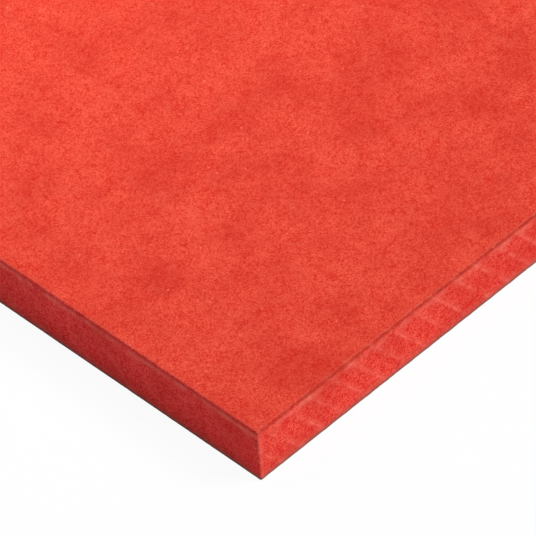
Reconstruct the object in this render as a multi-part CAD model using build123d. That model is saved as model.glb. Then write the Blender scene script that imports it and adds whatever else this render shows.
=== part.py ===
"""A cut panel of through-dyed medium-density fibreboard, lying flat on its lower face.

The board is one pressed piece, the same red all the way through. Its two faces are sanded
flat and parallel, its four edges are sawn square, and every arris, the line where two of
those faces meet, is eased so that it doesn't splinter.

Units are millimetres. The origin is the middle of the lower face, +X runs along the board,
+Y across it and +Z up through its thickness.
"""

import os

from build123d import *

# Driving dimensions
LENGTH = 600.0
WIDTH = 300.0
THICKNESS = 19.0
ARRIS_RADIUS = 0.5
CORNER_RADIUS = 0.6


def sawn_outline():
    """The board's plan: a rectangle with its four upright corners eased."""
    with BuildSketch(Plane.XY) as outline:
        Rectangle(LENGTH, WIDTH)
        fillet(outline.vertices(), radius=CORNER_RADIUS)
    return outline.sketch


def mdf_board():
    """The board: its plan raised to the thickness, with the rims of both faces eased."""
    with BuildPart() as board:
        add(sawn_outline())
        extrude(amount=THICKNESS)
        sanded_faces = board.faces().filter_by(Axis.Z)
        fillet(sanded_faces.edges(), radius=ARRIS_RADIUS)
    board.part.label = "mdf_board"
    return board.part


def main():
    os.makedirs("parts", exist_ok=True)
    board = mdf_board()
    export_step(board, "parts/mdf_board.step")
    print("mdf_board", board.bounding_box().size, "volume", round(board.volume))


main()
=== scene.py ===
# %% [markdown]
# # A panel of red fibreboard
#
# The object is one cut panel of medium-density fibreboard, dyed red right through. It has two
# sanded faces, four sawn edges and eased arrises, and nothing else. So the lesson is about
# surfaces: what a saw leaves on an edge, what a sander leaves on a face, and how light from one
# side shows both. The solid model comes in first, as the fixed frame that everything fits.

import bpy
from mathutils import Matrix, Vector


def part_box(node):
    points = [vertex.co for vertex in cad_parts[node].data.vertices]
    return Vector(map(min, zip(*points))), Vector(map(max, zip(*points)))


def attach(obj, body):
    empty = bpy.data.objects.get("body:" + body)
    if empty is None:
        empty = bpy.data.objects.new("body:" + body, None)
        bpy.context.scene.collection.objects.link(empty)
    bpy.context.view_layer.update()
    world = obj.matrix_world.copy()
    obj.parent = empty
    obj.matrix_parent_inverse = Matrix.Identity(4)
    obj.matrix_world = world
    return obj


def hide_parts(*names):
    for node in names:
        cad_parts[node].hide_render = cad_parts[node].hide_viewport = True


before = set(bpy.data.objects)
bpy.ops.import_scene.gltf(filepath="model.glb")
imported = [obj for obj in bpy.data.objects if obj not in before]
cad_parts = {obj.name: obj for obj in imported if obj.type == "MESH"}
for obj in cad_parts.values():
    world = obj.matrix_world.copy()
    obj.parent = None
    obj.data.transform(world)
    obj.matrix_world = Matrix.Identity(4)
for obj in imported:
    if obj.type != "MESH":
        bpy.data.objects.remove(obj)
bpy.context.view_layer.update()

# %% [markdown]
# ## Sizes
#
# Blender works in metres, and sizes on a board are easier to read in millimetres, so one named
# unit turns one into the other. The board's own sizes are read from the frame, so this script
# follows the solid model if that changes.

# %% Read the board's sizes
import math
from collections import namedtuple
from itertools import product

import bmesh
import bpy
from mathutils import Matrix, Vector, noise

MM = 0.001
low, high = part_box("mdf_board")
length, width, thickness = high - low
print(f"board {length / MM:.0f} x {width / MM:.0f} x {thickness / MM:.0f} mm")

# %% [markdown]
# ## The blank
#
# A board could be a cube with a bevel, but the saw marks on its edges are real ridges, and a ridge
# needs vertices to stand on. So the blank starts as a cube whose upright corners are bevelled,
# and whose sides are then cut into fine columns and rows. Its two faces are taken off first:
# they stay flat, and a fine grid across them would be wasted.

# %% Saw the blank
CORNER_RADIUS = 0.6 * MM
CORNER_SEGMENTS = 3
COLUMN_WIDTH = 0.6 * MM
ROWS = 12


def lies_along(edge, axis, least):
    """True if an edge of the mesh reaches at least so far along an axis."""
    return abs((edge.verts[0].co - edge.verts[1].co)[axis]) > least


def sawn_blank():
    """The four sides of the board as one band of small quads, with both faces open."""
    bm = bmesh.new()
    bmesh.ops.create_cube(bm, size=1.0)
    bmesh.ops.scale(bm, vec=high - low, verts=bm.verts)
    bmesh.ops.translate(bm, vec=(low + high) / 2, verts=bm.verts)
    level_faces = [face for face in bm.faces if abs(face.normal.z) > 0.5]
    bmesh.ops.delete(bm, geom=level_faces, context="FACES_ONLY")
    uprights = [edge for edge in bm.edges if lies_along(edge, 2, thickness / 2)]
    bmesh.ops.bevel(bm, geom=uprights, offset=CORNER_RADIUS, segments=CORNER_SEGMENTS,
                    profile=0.5, affect="EDGES", material=-1)
    for axis, span in ((0, length), (1, width)):
        runs = [edge for edge in bm.edges if lies_along(edge, axis, span / 2)]
        columns = round(span / COLUMN_WIDTH)
        bmesh.ops.subdivide_edges(bm, edges=runs, cuts=columns - 1, use_grid_fill=True)
    uprights = [edge for edge in bm.edges if lies_along(edge, 2, thickness / 2)]
    bmesh.ops.subdivide_edges(bm, edges=uprights, cuts=ROWS - 1, use_grid_fill=True)
    return bm


board_mesh = sawn_blank()
print("blank:", len(board_mesh.faces), "quads round the sides")

# %% [markdown]
# ## Faces and arrises
#
# Each face closes the band as one large polygon. The line where a face meets an edge is the
# arris, and a bevel of the polygon's rim eases it as sandpaper does. The corner of the face is
# then a fan of almost equal points, which are merged into one.

# %% Close the faces and ease the arrises
ARRIS_RADIUS = 0.5 * MM
ARRIS_SEGMENTS = 3
SAME_PLACE = 0.001 * MM
CORNER_FAN = CORNER_RADIUS + COLUMN_WIDTH / 2


def close_faces(bm):
    """Fills both open ends of the band, eases their rims and returns the two faces."""
    rims = []
    for level in (low.z, high.z):
        rim = [edge for edge in bm.edges
               if all(abs(vert.co.z - level) < SAME_PLACE for vert in edge.verts)]
        bmesh.ops.edgeloop_fill(bm, edges=rim)
        rims += rim
    bmesh.ops.bevel(bm, geom=rims, offset=ARRIS_RADIUS, segments=ARRIS_SEGMENTS,
                    profile=0.5, affect="EDGES", material=-1)
    point_corners(bm)
    bmesh.ops.recalc_face_normals(bm, faces=bm.faces)
    return sorted(bm.faces, key=lambda face: len(face.verts))[-2:]


def point_corners(bm):
    """Merges the few points at each corner of both faces into one."""
    for x, y, z in product((low.x, high.x), (low.y, high.y), (low.z, high.z)):
        fan = [vert for vert in bm.verts if abs(vert.co.z - z) < SAME_PLACE
               and max(abs(vert.co.x - x), abs(vert.co.y - y)) < CORNER_FAN]
        inward = Vector((math.copysign(ARRIS_RADIUS, x), math.copysign(ARRIS_RADIUS, y), 0))
        bmesh.ops.pointmerge(bm, verts=fan, merge_co=Vector((x, y, z)) - inward)


board_faces = close_faces(board_mesh)
print("faces with", [len(face.verts) for face in board_faces], "corners")

# %% [markdown]
# A polygon with thousands of corners is cut into long slivers when it is drawn. Rings inside the
# rim avoid that: a narrow one, so that the shading turns flat close to the arris, and then wider
# ones, each with only every eighth of the points of the ring outside it. Inset makes a ring of no
# width, scaling its inner rim gives it one without crowding the corners, and dissolving the
# spokes between two kept points thins it out.

# %% Thin out the faces in rings
FACE_RINGS = ((0.4 * MM, 1), (5 * MM, 8), (40 * MM, 8))


def ring(bm, face, ring_width, keep):
    """Insets a face and leaves one in so many of the points of its new rim."""
    bmesh.ops.inset_region(bm, faces=[face], thickness=0.0)
    corners = {max(face.verts, key=lambda vert: x * vert.co.x + y * vert.co.y)
               for x in (-1, 1) for y in (-1, 1)}
    reach = max(corners, key=lambda vert: vert.co.x + vert.co.y).co
    narrower = Vector((1 - ring_width / reach.x, 1 - ring_width / reach.y, 1))
    bmesh.ops.scale(bm, vec=narrower, verts=face.verts)
    spokes = []
    for index, vert in enumerate(face.verts):
        if index % keep and vert not in corners:
            spokes += [edge for edge in vert.link_edges if face not in edge.link_faces]
    bmesh.ops.dissolve_edges(bm, edges=spokes, use_verts=True)


for ring_width, keep in FACE_RINGS:
    for face in board_faces:
        ring(board_mesh, face, ring_width, keep)
print("faces with", [len(face.verts) for face in board_faces], "corners left inside the rings")

# %% [markdown]
# ## Where a point lies on an edge
#
# Saw marks are easiest to describe on the edge itself: how far along it a point lies, as seen from
# outside, and how deep below the upper face. Each of the four edges gets its outward direction,
# and the direction along it follows by a quarter turn. The long edges were ripped at a quick
# feed, and the ends were cross-cut more smoothly, so there are two kinds of cut. A cut names the
# spacing, slant and height of its marks, the place of the first one, and how uneven they are.

# %% Describe the sawn edges
Cut = namedtuple("Cut", "pitch lean relief first uneven")


class SawnEdge:
    """One edge of the board, seen from outside with its start on the left."""

    def __init__(self, outward, cut, material_index):
        self.outward = Vector(outward)
        self.along = Vector((0, 0, 1)).cross(self.outward)
        self.reach = abs(self.outward.dot((high - low) / 2))
        self.half_run = abs(self.along.dot((high - low) / 2))
        self.cut = cut
        self.material_index = material_index

    def inset(self, point):
        """How far a point lies inside this edge."""
        return self.reach - self.outward.dot(point)

    def place(self, point):
        """The distance along the edge and the depth below the upper face."""
        return self.along.dot(point) + self.half_run, high.z - point.z


RIP_CUT = Cut(pitch=8.33 * MM, lean=0.79, relief=0.06 * MM, first=1.48 * MM, uneven=0.036)
CROSS_CUT = Cut(pitch=14.85 * MM, lean=0.90, relief=0.03 * MM, first=4.1 * MM, uneven=0.02)
FACE_SLOT, RIP_SLOT, CROSS_SLOT = 0, 1, 2
EDGES = [
    SawnEdge((0, -1, 0), RIP_CUT, RIP_SLOT),
    SawnEdge((1, 0, 0), CROSS_CUT, CROSS_SLOT),
    SawnEdge((0, 1, 0), RIP_CUT, RIP_SLOT),
    SawnEdge((-1, 0, 0), CROSS_CUT, CROSS_SLOT),
]


def nearest_edge(point):
    return min(EDGES, key=lambda edge: edge.inset(point))


print("edges", [f"{2 * edge.half_run / MM:.0f} mm" for edge in EDGES])

# %% [markdown]
# ## Saw marks
#
# A circular blade leaves one slanted crest for each turn, because it never runs quite true. Along
# the edge the crests come at an even pitch, alternately a little early and a little late. The
# phase counts marks: at a whole number the point is on a crest. A crest is steep on one side and
# runs out slowly on the other, and the hollow between two crests is nearly flat.

# %% Work out the marks
WANDER = 0.05
WANDER_LENGTH = 14 * MM
EDGE_APART = 7.3
STEEP_SIDE = 0.18
SLOW_SIDE = 0.32


def smooth_step(value, start, end):
    """0 before start, 1 after end, and a smooth rise between them."""
    share = min(max((value - start) / (end - start), 0.0), 1.0)
    return share * share * (3 - 2 * share)


def mark_phase(edge, point):
    """How many saw marks lie between the edge's first crest and a point."""
    along, depth = edge.place(point)
    cut = edge.cut
    count = (along - cut.lean * (depth - thickness / 2) - cut.first) / cut.pitch
    own_row = edge.outward * EDGE_APART
    wander = noise.noise(Vector((count * cut.pitch / WANDER_LENGTH, own_row.x, own_row.y)))
    return count - cut.uneven * math.cos(math.pi * count) + WANDER * wander


def crest(phase):
    """Height of the edge between hollow, 0, and crest, 1."""
    share = phase % 1.0
    return max(smooth_step(share, 1 - STEEP_SIDE, 1), smooth_step(share, SLOW_SIDE, 0))


print("crest at", [round(crest(step / 10), 2) for step in range(10)])

# %% [markdown]
# The hollows are pressed into the sides by moving their vertices inwards, so the crests stay where
# the solid model has its edge and nothing stands proud of it. The arrises get small nicks in the
# same way, where loose fibres broke away. Both fade out at the upright corners, where two cuts
# meet.

# %% Press the marks and nicks into the mesh
SIDE_SKIN = 0.8 * MM
CORNER_FADE = 2.0 * MM
NICK_DEPTH = 0.06 * MM
NICK_LENGTH = 1.3 * MM
NICK_NOISE = (0.0, 0.6)


def nick(edge, point):
    """How much fibre is missing from an arris at a point."""
    along, depth = edge.place(point)
    from_face = min(depth, thickness - depth)
    row = EDGES.index(edge) + len(EDGES) * round(depth / thickness)
    loss = noise.noise(Vector((along / NICK_LENGTH, row * EDGE_APART, 0)))
    return NICK_DEPTH * smooth_step(loss, *NICK_NOISE) * smooth_step(from_face, 2 * ARRIS_RADIUS, 0)


def press_marks(bm):
    """Moves the vertices of the sides inwards and returns the deepest move."""
    deepest = 0.0
    for vert in bm.verts:
        edge = nearest_edge(vert.co)
        if edge.inset(vert.co) > SIDE_SKIN:
            continue
        along, _ = edge.place(vert.co)
        to_corner = min(along, 2 * edge.half_run - along)
        fade = smooth_step(to_corner, CORNER_RADIUS, CORNER_FADE)
        hollow = edge.cut.relief * (1 - crest(mark_phase(edge, vert.co)))
        move = fade * (hollow + nick(edge, vert.co))
        vert.co -= edge.outward * move
        deepest = max(deepest, move)
    return deepest


print(f"deepest hollow {press_marks(board_mesh) / MM:.2f} mm")

# %% [markdown]
# The finish has to know where the marks are, or its streaks would miss the crests. So the phase
# and the depth of each point of the sides are kept in a UV map, which the nodes can read. The same
# pass gives each polygon its finish and smooth shading.

# %% Lay the map of the marks
MARK_MAP = "SawMarks"


def lay_mark_map(bm):
    """Writes phase and depth to the UV map and gives each face its finish."""
    marks = bm.loops.layers.uv.new(MARK_MAP)
    for face in bm.faces:
        face.smooth = True
        middle = face.calc_center_median()
        edge = nearest_edge(middle)
        on_side = edge.inset(middle) < ARRIS_RADIUS
        face.material_index = edge.material_index if on_side else FACE_SLOT
        for loop in face.loops:
            _, depth = edge.place(loop.vert.co)
            place = (mark_phase(edge, loop.vert.co), depth / thickness)
            loop[marks].uv = place if on_side else (0, 0)


lay_mark_map(board_mesh)
print("sides:", sum(face.material_index != FACE_SLOT for face in board_mesh.faces), "polygons")

# %% [markdown]
# ## The board
#
# The mesh becomes an object that stays at the origin, unturned and unscaled, so that it lies where
# the solid model lies. It rides on the board's only body and stands in for its only node.

# %% Make the board
mesh = bpy.data.meshes.new("mdf_board_dressed")
board_mesh.to_mesh(mesh)
board_mesh.free()
board = bpy.data.objects.new("mdf_board_dressed", mesh)
bpy.context.scene.collection.objects.link(board)
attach(board, "root")
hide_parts("mdf_board")
print("board:", sum(len(face.vertices) - 2 for face in mesh.polygons), "triangles")

# %% [markdown]
# ## Writing a finish
#
# A finish is a tree of nodes, and most of them only do sums. A small class wraps a socket, so that
# sums can be written as sums: each operator adds the Math node that does it.

# %% Wrap a socket
class Amount:
    """A number that varies over a surface. Arithmetic on it adds Math nodes."""

    def __init__(self, finish, socket):
        self.finish = finish
        self.socket = socket

    def sum(self, operation, *terms):
        sockets = dict(enumerate(terms))
        return self.finish.node("ShaderNodeMath", {"operation": operation}, sockets)

    def __add__(self, other):
        return self.sum("ADD", self, other)

    def __sub__(self, other):
        return self.sum("SUBTRACT", self, other)

    def __rsub__(self, other):
        return self.sum("SUBTRACT", other, self)

    def __mul__(self, other):
        return self.sum("MULTIPLY", self, other)

    def __mod__(self, other):
        return self.sum("FLOORED_MODULO", self, other)

    def __abs__(self):
        return self.sum("ABSOLUTE", self)

    __radd__ = __add__
    __rmul__ = __mul__

    def larger(self, other):
        return self.sum("MAXIMUM", self, other)

    def smaller(self, other):
        return self.sum("MINIMUM", self, other)


print("sums:", [name for name, member in vars(Amount).items() if callable(member)])

# %% [markdown]
# One method adds any other node, from its type, its settings and what goes into its sockets. A few
# more methods stand for the nodes that the finishes use most: a smooth step, a mix of two
# colours, and a noise. The noise isn't normalised, so that it swings around 0 and can be added to
# anything without changing its mean.

# %% Wrap a node tree
class Finish:
    """The node tree of a material or a world in the making."""

    def __init__(self, tree):
        self.tree = tree
        self.tree.nodes.clear()

    def node(self, kind, settings, sockets, output=0):
        """Adds a node of any kind and returns one of its outputs, if it has any."""
        made = self.tree.nodes.new(kind)
        for name, value in settings.items():
            setattr(made, name, value)
        for name, value in sockets.items():
            if isinstance(value, Amount):
                self.tree.links.new(value.socket, made.inputs[name])
            else:
                made.inputs[name].default_value = value
        return Amount(self, made.outputs[output]) if made.outputs else None

    def place(self):
        """Where a point of the surface lies, in metres from the board's origin."""
        return self.node("ShaderNodeTexCoord", {}, {}, output="Object")

    def step(self, amount, start, end):
        """The smooth rise from 0 to 1 between two values."""
        settings = {"interpolation_type": "SMOOTHSTEP"}
        sockets = {"Value": amount, "From Min": start, "From Max": end}
        if start > end:
            sockets.update({"From Min": end, "From Max": start, "To Min": 1.0, "To Max": 0.0})
        return self.node("ShaderNodeMapRange", settings, sockets)

    def mix(self, share, first, second):
        """A colour between two others."""
        settings = {"data_type": "RGBA", "clamp_factor": True}
        return self.node("ShaderNodeMix", settings, {0: share, 6: first, 7: second}, output=2)

    def noise(self, place, size, detail=2.0, roughness=0.5, distortion=0.0):
        """Soft random patches about so large, from -1 to 1 around 0."""
        sockets = {"Vector": place, "Scale": 1 / size, "Detail": detail,
                   "Roughness": roughness, "Distortion": distortion}
        return self.node("ShaderNodeTexNoise", {"normalize": False}, sockets)

    def vector(self, operation, first, second, output=0):
        """Vector arithmetic on two places."""
        settings = {"operation": operation}
        return self.node("ShaderNodeVectorMath", settings, {0: first, 1: second}, output)

    def parts(self, vector):
        """The three numbers of a vector."""
        return [self.node("ShaderNodeSeparateXYZ", {}, {0: vector}, output=index)
                for index in range(3)]


print("nodes:", [name for name in vars(Finish) if not name.startswith("_")])

# %% [markdown]
# Colours are written as a picture editor shows them, and turned into the linear values that light
# adds up in. Every finish of the board ends in the same matt surface, with its relief as a bump
# of a few thousandths of a millimetre.

# %% Helpers for colours and surfaces
MATT_SPECULAR = 0.25


def srgb(red, green, blue):
    """A colour from 0 to 255, as picture editors write it, in linear values."""
    def linear(value):
        share = value / 255
        return share / 12.92 if share < 0.04045 else ((share + 0.055) / 1.055) ** 2.4
    return (linear(red), linear(green), linear(blue), 1.0)


def new_material(name):
    material = bpy.data.materials.new(name)
    material.use_nodes = True
    return material


def lay_down(finish, colour, rough, height, relief):
    """Ends a finish: its colour, roughness and relief go into one matt surface."""
    bumped = finish.node("ShaderNodeBump", {}, {"Distance": relief, "Height": height})
    surface = finish.node("ShaderNodeBsdfPrincipled", {}, {
        "Base Color": colour, "Roughness": rough, "Specular IOR Level": MATT_SPECULAR,
        "Normal": bumped})
    finish.node("ShaderNodeOutputMaterial", {}, {"Surface": surface})


print("white is", srgb(255, 255, 255))

# %% [markdown]
# ## The felt
#
# Fibreboard is a felt of dyed fibres, on its faces and inside. Its brightness varies at three
# sizes. Mottles of a few millimetres and bundles of about one are soft, so they are noises. Single
# chips of fibre have clear outlines, and a noise that fine looks wormy, so each chip is a cell
# of a Voronoi texture with a brightness drawn by lot. The sum stays around one half.

# %% Add up the brightness of the felt
MOTTLES = (3.0 * MM, 0.19)
BUNDLES = (0.9 * MM, 0.22)
CHIPS = (0.28 * MM, 0.9)
MIDDLE = 0.5


def cells(finish, place, spacing):
    """Scattered cells: how far the middle of the nearest one is, and its lot, from 0 to 1."""
    settings = {"feature": "F1", "voronoi_dimensions": "3D"}
    sockets = {"Vector": place, "Scale": 1 / spacing, "Randomness": 1.0}
    distance = finish.node("ShaderNodeTexVoronoi", settings, sockets)
    colour = finish.node("ShaderNodeTexVoronoi", settings, sockets, output=1)
    return distance, finish.node("ShaderNodeSeparateColor", {}, {0: colour})


def fibre_tone(finish, place, contrast):
    """The brightness of the felt, around 0.5, from mottles down to single chips of fibre."""
    chip_size, chip_strength = CHIPS
    _, lot = cells(finish, place, chip_size)
    tone = MIDDLE + (lot - MIDDLE) * (chip_strength * contrast)
    for size, strength in (MOTTLES, BUNDLES):
        patches = finish.noise(place, size, detail=1.0, roughness=1.0)
        tone = tone + patches * (strength * contrast)
    return tone


print("felt from", CHIPS[0] / MM, "to", MOTTLES[0] / MM, "mm")

# %% [markdown]
# Where the dye took more, the board is a richer red. These clouds are one or two centimetres wide
# and random, so they are a noise too. The noise is read at a shifted place, chosen so that its
# clouds fall about as on the photographed board, and two darker smudges near the visible corner
# are added by their distance from a point.

# %% Cloud the dye
RICH_RED = srgb(193, 23, 6)
CLOUD_SIZE = 16 * MM
CLOUD_SHIFT = (-392 * MM, -126 * MM, 0.0)
CLOUD_STRENGTH = 0.6
CLOUD_SHARE = 0.44
SMUDGE_STRENGTH = 0.8
DYE_RANGE = (-0.5, 0.7)

Smudge = namedtuple("Smudge", "along across radius")
MIDDLE_SMUDGE = Smudge(along=24 * MM, across=60 * MM, radius=9 * MM)
EDGE_SMUDGE = Smudge(along=25 * MM, across=8 * MM, radius=14 * MM)


def dyed(finish, place, colour):
    """A colour of the felt, made richer where the dye took more."""
    moved = finish.vector("ADD", place, CLOUD_SHIFT)
    dye = finish.noise(moved, CLOUD_SIZE, detail=2.0, roughness=0.6) * CLOUD_STRENGTH
    for smudge in (MIDDLE_SMUDGE, EDGE_SMUDGE):
        centre = (low.x + smudge.along, low.y + smudge.across, high.z)
        distance = finish.vector("DISTANCE", place, centre, output=1)
        dye = dye + finish.step(distance, smudge.radius, 0.0) * SMUDGE_STRENGTH
    return finish.mix(finish.step(dye, *DYE_RANGE) * CLOUD_SHARE, colour, RICH_RED)


print("clouds of", CLOUD_SIZE / MM, "mm")

# %% [markdown]
# A few things lie on top of the felt: single pale hairs, and pale and dark specks. A hair is the
# thin line where a wandering noise passes through zero, and a second noise hides most of it. A
# speck is a dot in the middle of a cell, and the cell's lot says whether it is there at all.

# %% Scatter hairs and specks
HAIR_SIZE = 2.6 * MM
HAIR_WIDTH = 0.05
HAIR_GAPS = 2.3
HAIR_SHOWN = (0.05, 0.35)
SPECK_SIZE = 0.45 * MM
SPECK_CORE = 0.3
LOT_STEP = 0.01


def hairs(finish, place):
    """Thin curved lines: where a wandering noise passes through zero."""
    wandering = finish.noise(place, HAIR_SIZE, detail=1.0, roughness=0.4, distortion=1.2)
    shown = finish.noise(place, HAIR_GAPS * HAIR_SIZE, detail=0.0)
    return finish.step(abs(wandering), HAIR_WIDTH, 0.0) * finish.step(shown, *HAIR_SHOWN)


def specks(finish, place, spacing, share):
    """Small dots, one at most for each cell, in only some of the cells."""
    distance, lot = cells(finish, place, spacing)
    size = SPECK_SIZE / spacing
    dot = finish.step(distance, size, SPECK_CORE * size)
    return dot * finish.step(lot, 1 - share, 1 - share + LOT_STEP)


print("specks of", SPECK_SIZE / MM, "mm")

# %% [markdown]
# ## Sanded face
#
# The face shows the felt as the sander left it: matt, with a little more sheen where the fibres
# are pale and packed. Its brightness moves the colour between a deep and a light red, and the dye,
# the hairs and the specks follow. Along the rim, next to the arris, the colour turns to a pinkish
# line.

# %% Mix the face's finish
FACE_DEEP = srgb(215, 29, 8)
FACE_LIGHT = srgb(243, 95, 72)
PALE_FIBRE = srgb(255, 132, 108)
DARK_FIBRE = srgb(140, 26, 18)
RIM_PINK = srgb(188, 101, 84)
HAIR_SHARE = 0.18
PALE_SPECKS = (2.2 * MM, 0.10, 0.55)
DARK_SPECKS = (2.4 * MM, 0.16, 0.3)
RIM_WIDTH = (0.7 * MM, 1.3 * MM)
RIM_SHARE = 0.18
FACE_ROUGHNESS = 0.88
FACE_SHEEN = 0.08
FACE_RELIEF = 0.004 * MM
HAIR_HEIGHT = 0.5


def sanded_face():
    material = new_material("sanded_face")
    finish = Finish(material.node_tree)
    place = finish.place()
    along, across, _ = finish.parts(place)
    tone = fibre_tone(finish, place, contrast=1.0)
    pale = hairs(finish, place)
    colour = dyed(finish, place, finish.mix(tone, FACE_DEEP, FACE_LIGHT))
    colour = finish.mix(pale * HAIR_SHARE, colour, PALE_FIBRE)
    for kind, fibre in ((PALE_SPECKS, PALE_FIBRE), (DARK_SPECKS, DARK_FIBRE)):
        spacing, share, strength = kind
        colour = finish.mix(specks(finish, place, spacing, share) * strength, colour, fibre)
    inset = (length / 2 - abs(along)).smaller(width / 2 - abs(across))
    rim = finish.step(inset, RIM_WIDTH[1], RIM_WIDTH[0])
    colour = finish.mix(rim * RIM_SHARE, colour, RIM_PINK)
    rough = FACE_ROUGHNESS - tone * FACE_SHEEN
    lay_down(finish, colour, rough, tone + pale * HAIR_HEIGHT, FACE_RELIEF)
    return material


board.data.materials.append(sanded_face())
print("face finish:", len(board.data.materials[FACE_SLOT].node_tree.nodes), "nodes")

# %% [markdown]
# ## Sawn edge
#
# The saw opens the same felt from the side, where it is a cooler red. Along the crests the blade
# combed the fibres up, and pale streaks are painted there, partly the paler colour of those fibres
# and partly a painted highlight where the crests catch the light: a broad one that follows the
# slopes of the crest, and a thin line on top of it. Both are read from the phase in the UV map, a
# little shaken by a noise, and they come and go from patch to patch.

# %% Streak the crests
STREAK_PINK = srgb(252, 118, 100)
CREST_LINE = (0.05, 0.09)
LINE_SHARE = 0.6
SHAKE_SIZE = 1.6 * MM
SHAKE = 0.05
PATCH_SIZE = 5 * MM
PATCH_LEVEL = 0.7
COMB_WIDTH = 0.9 * MM
COMB_LENGTH = 9 * MM


def patchy(finish, place, swing):
    """A strength that comes and goes from one patch of an edge to the next."""
    return PATCH_LEVEL + finish.noise(place, PATCH_SIZE, detail=1.0) * swing


def ridges(finish, share, steep, slow):
    """1 on each crest, falling to 0 within one share of a mark before it and one behind it."""
    return finish.step(share, 1 - steep, 1.0).larger(finish.step(share, slow, 0.0))


def crest_streaks_and_highlight(finish, place, phase):
    """Pale streaks along the crests: combed-up fibres, and a painted highlight where they catch the
    light.
    """
    shaken = phase + finish.noise(place, SHAKE_SIZE, detail=2.0, roughness=0.7) * SHAKE
    share = shaken % 1.0
    line = ridges(finish, share, *CREST_LINE)
    return ridges(finish, share, STEEP_SIDE, SLOW_SIDE) + line * LINE_SHARE


def scratches(finish, marks, cut):
    """Fine scratches of the teeth, drawn out along the marks."""
    combed = finish.vector("MULTIPLY", marks,
                           (cut.pitch / COMB_WIDTH, thickness / COMB_LENGTH, 1.0))
    return finish.noise(combed, 1.0, detail=2.0, roughness=0.6)


print("a crest line takes", sum(CREST_LINE), "of a mark")

# %% [markdown]
# From a face inwards an edge has layers: a dark burnished line under the arris, broken here and
# there, then a paler strip where the dense skin ends, then the core in full red. Their borders are
# ragged, so a noise is added to the depth before they are read from it. The paler strip is painted
# stronger in the upper half, as painted light. Along the lower arris grey is painted as shade where
# the edge meets the floor, dense on the line itself, with a thin haze of painted shade above it.

# %% Layer the edges
# The pale skin's own colour, also used for painted light in the upper half of the edge.
SKIN_AND_LIGHT_RED = srgb(236, 125, 105)
ARRIS_BROWN = srgb(150, 34, 4)
# Grey painted as shade along the lower arris, where the edge meets the floor.
CONTACT_SHADE_GREY = srgb(112, 96, 87)
RAGGED_SIZE = 2.5 * MM
RAGGED_DEPTH = 0.3 * MM
SKIN_SHARE = 0.1
# Painted light: the extra pale skin in the upper half of the edge, as if lit more there.
UPPER_PAINTED_LIGHT_SHARE = 0.15
SKIN_PATCHES = 0.2
UPPER_HALF = (0.7, 0.3)
ARRIS_STARTS = (0.0 * MM, 0.10 * MM)
ARRIS_ENDS = (0.5 * MM, 1.4 * MM)
BREAK_SIZE = 0.9 * MM
BREAKS = 0.8
# Where the painted shade along the lower arris lies, and how dense it is, line and haze.
SHADE_LINE_ENDS = (0.3 * MM, 2.1 * MM)
SHADE_LINE_SHARE = 0.58
SHADE_HAZE_ENDS = (0.5 * MM, 5.0 * MM)
SHADE_HAZE_SHARE = 0.16


def ragged_depth(finish, place, from_face):
    """The depth below the nearer face, with the borders of the layers made ragged."""
    ragged = finish.noise(place, RAGGED_SIZE, detail=3.0, roughness=0.7)
    return from_face + ragged * RAGGED_DEPTH


def pale_skin_and_light(finish, depth, ragged, skin):
    """How much of the pale skin shows, with painted light making it stronger in the upper half."""
    starts, full, thins, ends = skin
    strip = finish.step(ragged, starts, full) * finish.step(ragged, ends, thins)
    # Painted light: the upper half gets more of the pale skin, brighter towards the top.
    upper = finish.step(depth, UPPER_HALF[0] * thickness, UPPER_HALF[1] * thickness)
    return strip * (SKIN_SHARE + upper * UPPER_PAINTED_LIGHT_SHARE)


def burnished_line(finish, place, ragged):
    """The dark line under an arris, broken here and there."""
    broken = 1.0 + finish.noise(place, BREAK_SIZE, detail=1.0) * BREAKS
    return finish.step(ragged, ARRIS_ENDS[1], ARRIS_ENDS[0]) * broken


def contact_shade(finish, height):
    """Painted shade along the lower arris: grey by its height above the lower face."""
    line = finish.step(height, SHADE_LINE_ENDS[1], SHADE_LINE_ENDS[0]) * SHADE_LINE_SHARE
    return line + finish.step(height, SHADE_HAZE_ENDS[1], SHADE_HAZE_ENDS[0]) * SHADE_HAZE_SHARE


print("arris line down to", ARRIS_ENDS[1] / MM, "mm")

# %% [markdown]
# At the upright corners the two cuts differ. The long edges end in a pale line beside the corner,
# and the ends have a few dark gaps, where the blade broke fibres out. Each is a small function
# that takes the colour so far and returns it changed, so that the finish can be given either one.

# %% Dress the upright corners
GAP_RED = srgb(105, 4, 6)
PALE_STARTS = (0.0 * MM, 0.4 * MM)
PALE_ENDS = (0.7 * MM, 2.6 * MM)
PALE_SHARE = 0.34
PALE_PATCHES = 0.8
GAP_ENDS = (0.5 * MM, 2.0 * MM)
GAP_SIZE = 1.7 * MM
GAP_NOISE = (0.0, 0.45)
GAP_SHARE = 0.5


def pale_corner(finish, place, colour):
    """A pale line beside the upright corners of the long edges."""
    along, _, _ = finish.parts(place)
    to_corner = length / 2 - abs(along)
    line = finish.step(to_corner, *PALE_STARTS) * finish.step(to_corner, PALE_ENDS[1], PALE_ENDS[0])
    line = line * patchy(finish, place, PALE_PATCHES)
    return finish.mix(line * PALE_SHARE, colour, STREAK_PINK)


def gappy_corner(finish, place, colour):
    """Dark gaps where fibres broke out beside the upright corners of the ends."""
    _, across, _ = finish.parts(place)
    line = finish.step(width / 2 - abs(across), GAP_ENDS[1], GAP_ENDS[0])
    gaps = finish.noise(place, GAP_SIZE, detail=2.0, roughness=0.7)
    return finish.mix(line * finish.step(gaps, *GAP_NOISE) * GAP_SHARE, colour, GAP_RED)


print("corner lines end", PALE_ENDS[1] / MM, "and", GAP_ENDS[1] / MM, "mm from the corners")

# %% [markdown]
# Both kinds of edge have the same layers in the same order and differ in strength: the ripped edges
# have bold streaks and a dark arris, and the cross-cut ends are smoother. So one function mixes
# either finish, and a look holds its two reds, the contrast of the felt, the strength of the
# streaks and of the burnish, and the four depths at which the pale skin starts, is full, thins
# and ends.

# %% Mix the edges' finishes
EdgeLook = namedtuple("EdgeLook", "deep light contrast streak burnish skin")

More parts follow.
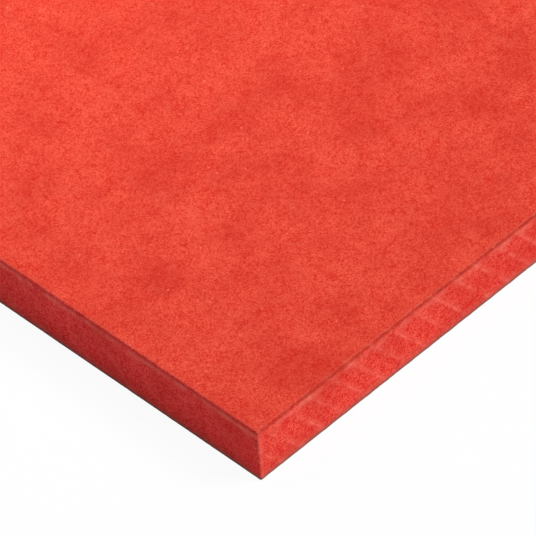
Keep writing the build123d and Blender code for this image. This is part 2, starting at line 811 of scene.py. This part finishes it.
RIP_LOOK = EdgeLook(deep=srgb(216, 12, 6), light=srgb(246, 88, 70), contrast=1.7,
                    streak=0.28, burnish=0.56, skin=(0.8 * MM, 1.7 * MM, 2.2 * MM, 4.5 * MM))
CROSS_LOOK = EdgeLook(deep=srgb(218, 6, 6), light=srgb(247, 78, 75), contrast=1.6,
                      streak=0.08, burnish=0.20, skin=(0.5 * MM, 1.5 * MM, 1.8 * MM, 3.6 * MM))
STREAK_PATCHES = 1.4
SCRATCH_SHARE = 0.06
EDGE_ROUGHNESS = 0.9
BURNISH_SHEEN = 0.15
EDGE_RELIEF = 0.006 * MM


def sawn_edge(name, cut, look, dress_corner):
    """One kind of sawn edge. The last value says how the upright corners look on it."""
    material = new_material(name)
    finish = Finish(material.node_tree)
    place = finish.place()
    marks = finish.node("ShaderNodeUVMap", {"uv_map": MARK_MAP}, {})
    phase, depth_share, _ = finish.parts(marks)
    depth = depth_share * thickness
    height = thickness - depth
    from_face = depth.smaller(height)
    ragged = ragged_depth(finish, place, from_face)
    patches = patchy(finish, place, STREAK_PATCHES)

    tone = fibre_tone(finish, place, look.contrast) + scratches(finish, marks, cut) * SCRATCH_SHARE
    colour = dyed(finish, place, finish.mix(tone, look.deep, look.light))
    # Partly combed fibres, partly a painted highlight along the crests.
    streak = crest_streaks_and_highlight(finish, place, phase) * patches * look.streak
    colour = finish.mix(streak, colour, STREAK_PINK)
    skin = pale_skin_and_light(finish, depth, ragged, look.skin) * (patches + SKIN_PATCHES)
    colour = finish.mix(skin, colour, SKIN_AND_LIGHT_RED)
    below_rim = finish.step(from_face, *ARRIS_STARTS)
    colour = finish.mix((1 - below_rim) * RIM_SHARE, colour, RIM_PINK)
    arris = below_rim * burnished_line(finish, place, ragged)
    colour = finish.mix(arris * look.burnish, colour, ARRIS_BROWN)
    # Painted shade: grey along the lower arris, with a thin haze above it.
    colour = finish.mix(contact_shade(finish, height), colour, CONTACT_SHADE_GREY)
    colour = dress_corner(finish, place, colour)
    lay_down(finish, colour, EDGE_ROUGHNESS - arris * BURNISH_SHEEN, tone, EDGE_RELIEF)
    return material


board.data.materials.append(sawn_edge("rip_sawn_edge", RIP_CUT, RIP_LOOK, pale_corner))
board.data.materials.append(sawn_edge("cross_sawn_edge", CROSS_CUT, CROSS_LOOK, gappy_corner))
print("finishes:", [material.name for material in board.data.materials])

# %% [markdown]
# ## Camera
#
# The photograph was taken with a long lens from well above one corner, so the edges hardly
# converge. The camera is placed from what was measured in the picture: the direction that it
# looks along, its slight roll, the distance to the near corner and the pixel on which that
# corner falls.

# %% Place the camera
PHOTO_PIXELS = 536
CORNER_PIXEL = (256.95, 433.86)
FOCAL_PIXELS = 6157.0
AZIMUTH = math.radians(-42.15)
ELEVATION = math.radians(45.26)
ROLL = math.radians(-4.87)
CORNER_DISTANCE = 1666 * MM
SENSOR_MM = 36.0
NEAR_CORNER = Vector((low.x, low.y, high.z))


def photo_camera():
    backward = Vector((math.sin(AZIMUTH) * math.cos(ELEVATION),
                       -math.cos(AZIMUTH) * math.cos(ELEVATION), math.sin(ELEVATION)))
    level = Vector((0, 0, 1)).cross(backward).normalized()
    upward = backward.cross(level)
    right = math.cos(ROLL) * level + math.sin(ROLL) * upward
    upward = backward.cross(right)
    across = (CORNER_PIXEL[0] - PHOTO_PIXELS / 2) / FOCAL_PIXELS
    down = (CORNER_PIXEL[1] - PHOTO_PIXELS / 2) / FOCAL_PIXELS
    eye = NEAR_CORNER - CORNER_DISTANCE * (-backward + across * right - down * upward)
    data = bpy.data.cameras.new("photo_camera")
    data.sensor_width = SENSOR_MM
    data.lens = FOCAL_PIXELS / PHOTO_PIXELS * SENSOR_MM
    camera = bpy.data.objects.new("photo_camera", data)
    turn = Matrix((right, upward, backward)).transposed().to_4x4()
    camera.matrix_world = Matrix.Translation(eye) @ turn
    bpy.context.scene.collection.objects.link(camera)
    return camera


bpy.context.scene.camera = photo_camera()
bpy.context.view_layer.update()
print("camera at", [round(value, 3) for value in bpy.context.scene.camera.location])

# %% [markdown]
# ## Floor
#
# The board lies on a plain white floor, a hair's breadth below it so that the two surfaces don't
# fight. The camera sees the floor mostly as bright paper, with a little of its true shading left
# in, so that the board keeps its shadow.

# %% Lay the floor
FLOOR_SIZE = 12.0
FLOOR_GAP = 0.05 * MM
PAPER_SHARE = 0.94
WHITE = (1.0, 1.0, 1.0, 1.0)
PAPER_WHITE = (0.95, 0.95, 0.95, 1.0)


def seen_directly(finish):
    """1 for what the camera sees, itself or in a reflection, and 0 for light on its way."""
    rays = [finish.node("ShaderNodeLightPath", {}, {}, output=name)
            for name in ("Is Camera Ray", "Is Glossy Ray", "Is Transmission Ray")]
    return rays[0].larger(rays[1]).larger(rays[2])


def pale_floor():
    material = new_material("pale_floor")
    finish = Finish(material.node_tree)
    shaded = finish.node("ShaderNodeBsdfDiffuse", {}, {"Color": PAPER_WHITE})
    paper = finish.node("ShaderNodeEmission", {}, {"Color": WHITE, "Strength": 1.0})
    share = seen_directly(finish) * PAPER_SHARE
    surface = finish.node("ShaderNodeMixShader", {}, {0: share, 1: shaded, 2: paper})
    finish.node("ShaderNodeOutputMaterial", {}, {"Surface": surface})
    return material


floor_mesh = bmesh.new()
bmesh.ops.create_grid(floor_mesh, x_segments=1, y_segments=1, size=FLOOR_SIZE / 2)
bmesh.ops.translate(floor_mesh, vec=(0, 0, low.z - FLOOR_GAP), verts=floor_mesh.verts)
floor = bpy.data.objects.new("floor", bpy.data.meshes.new("floor"))
floor_mesh.to_mesh(floor.data)
floor_mesh.free()
floor.data.materials.append(pale_floor())
bpy.context.scene.collection.objects.link(floor)
print("floor", FLOOR_SIZE, "m square")

# %% [markdown]
# ## Light
#
# The main light is a soft box on the right. It lights the face and the long edge about equally and
# leaves the end in the shade, where only the pale sky and the floor reach. A small box over the
# far side makes the face a little brighter there. The camera sees the sky as white, but it sheds
# much less light than that.

# %% Hang the lights
SKY_LEVEL = 0.20


def soft_box(name, offset, aim, size, watts, spread):
    """A square lamp, placed and aimed by distances from the board's near corner."""
    data = bpy.data.lights.new(name, "AREA")
    data.shape = "SQUARE"
    data.size = size
    data.energy = watts
    data.spread = math.radians(spread)
    lamp = bpy.data.objects.new(name, data)
    lamp.location = NEAR_CORNER + Vector(offset)
    lamp.rotation_euler = (Vector(aim) - Vector(offset)).to_track_quat("-Z", "Y").to_euler()
    bpy.context.scene.collection.objects.link(lamp)
    return lamp


def pale_sky():
    world = bpy.data.worlds.new("pale_sky")
    world.use_nodes = True
    finish = Finish(world.node_tree)
    strength = seen_directly(finish) * (1 - SKY_LEVEL) + SKY_LEVEL
    sky = finish.node("ShaderNodeBackground", {}, {"Color": WHITE, "Strength": strength})
    finish.node("ShaderNodeOutputWorld", {}, {"Surface": sky})
    return world


soft_box("key_box", offset=(1.87, -1.87, 3.00), aim=(0, 0, 0),
         size=1.6, watts=144.0, spread=180)
soft_box("far_box", offset=(0.15, 0.60, 0.70), aim=(0.10, 0.35, 0),
         size=0.3, watts=0.385, spread=50)
bpy.context.scene.world = pale_sky()
bpy.context.scene.view_settings.view_transform = "Standard"
print("lamps:", [lamp.name for lamp in bpy.data.objects if lamp.type == "LIGHT"])

# %% [markdown]
# ## Size
#
# The marks and nicks are pressed inwards only, so the finished board stands nowhere outside the
# box of the solid model.
